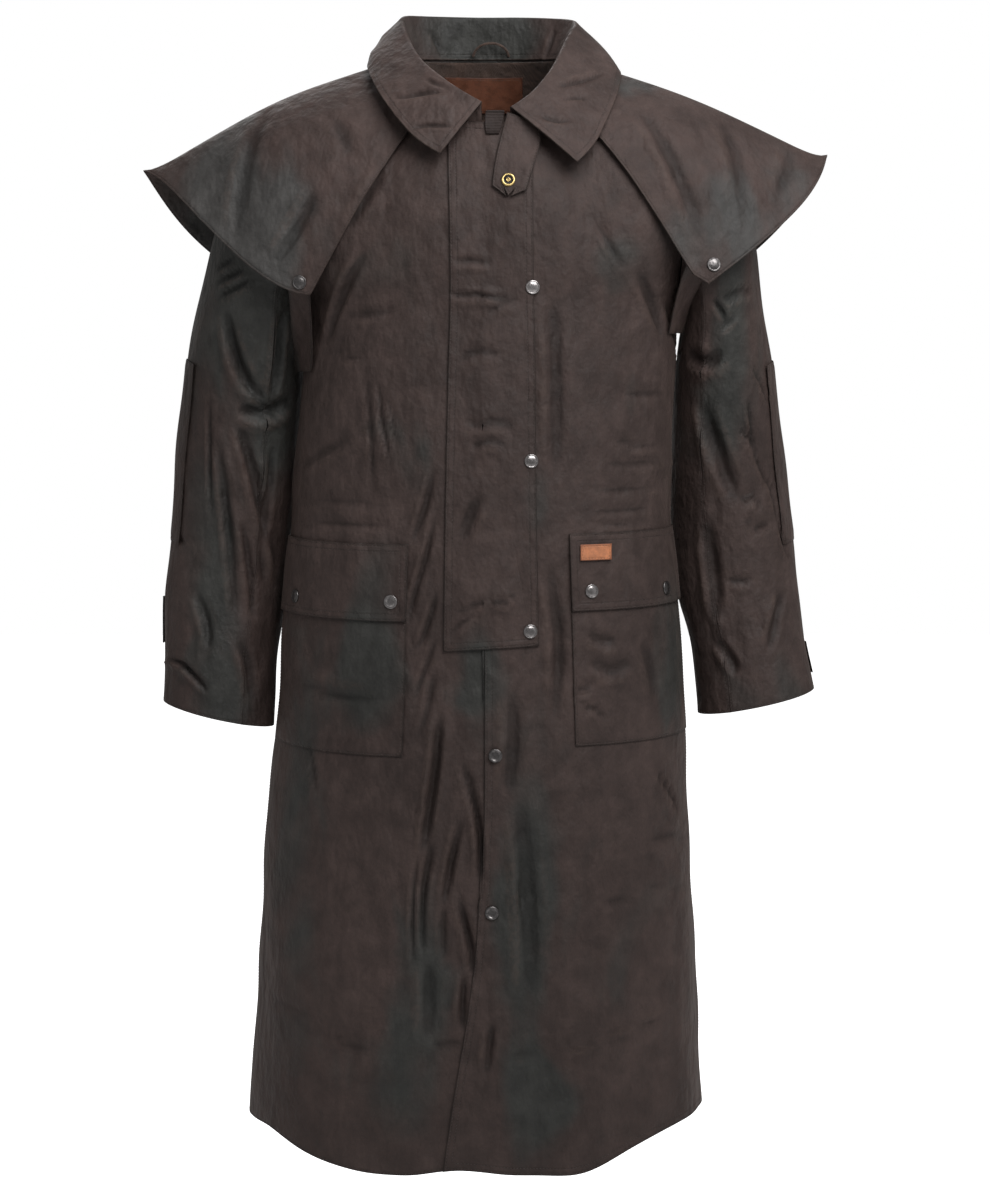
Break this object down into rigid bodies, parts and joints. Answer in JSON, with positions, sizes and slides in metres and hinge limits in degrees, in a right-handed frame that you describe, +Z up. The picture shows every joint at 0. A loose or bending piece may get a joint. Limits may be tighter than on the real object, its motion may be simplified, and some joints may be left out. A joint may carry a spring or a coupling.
{
  "type": "duster coat",
  "caption": "Long riding duster in waxed cloth, standing as if worn: shoulder cape, turned-down collar, snapped storm flap, flapped pockets and wide open sleeves.",
  "frame": {"origin": "middle of the base of the neck, level with the wearer's shoulders, which carry the coat", "axes": "+Z up, -Y out of the coat's front, +X to the wearer's left"},
  "size_m": [0.803, 0.4109, 1.3363],
  "materials": {
    "oilskin": "waxed, semi-matte",
    "oilskin_grey": "waxed, semi-matte",
    "lining": "matt",
    "leather": "matt",
    "snap_metal": "worn nickel",
    "brass": "polished"
  },
  "bodies": {
    "root": {"back": "oilskin", "cape": "oilskin_grey", "cape_snap_left": "snap_metal", "cape_snap_right": "snap_metal", "cape_strap_left": "oilskin", "cape_strap_right": "oilskin", "collar": "oilskin", "collar_stand_end": "oilskin", "cuff_snap_left": "snap_metal", "cuff_snap_right": "snap_metal", "cuff_tab_left": "oilskin", "cuff_tab_right": "oilskin", "elbow_patch_left": "oilskin", "elbow_patch_right": "oilskin", "front_left": "oilskin", "front_right": "oilskin", "front_snap_lower": "snap_metal", "front_snap_upper": "snap_metal", "hanger_loop": "lining", "neck_facing": "lining", "neck_label": "leather", "pocket_flap_left": "oilskin", "pocket_flap_right": "oilskin", "pocket_label": "leather", "pocket_left": "oilskin", "pocket_right": "oilskin", "pocket_snap_left_inner": "snap_metal", "pocket_snap_left_outer": "snap_metal", "pocket_snap_right_inner": "snap_metal", "pocket_snap_right_outer": "snap_metal", "sleeve_under_left": "oilskin", "sleeve_under_right": "oilskin", "sleeve_upper_left": "oilskin", "sleeve_upper_right": "oilskin", "storm_flap": "oilskin", "storm_snap_bottom": "snap_metal", "storm_snap_middle": "snap_metal", "storm_snap_top": "snap_metal", "throat_latch": "oilskin", "throat_snap": "brass"}
  },
  "joints": []
}
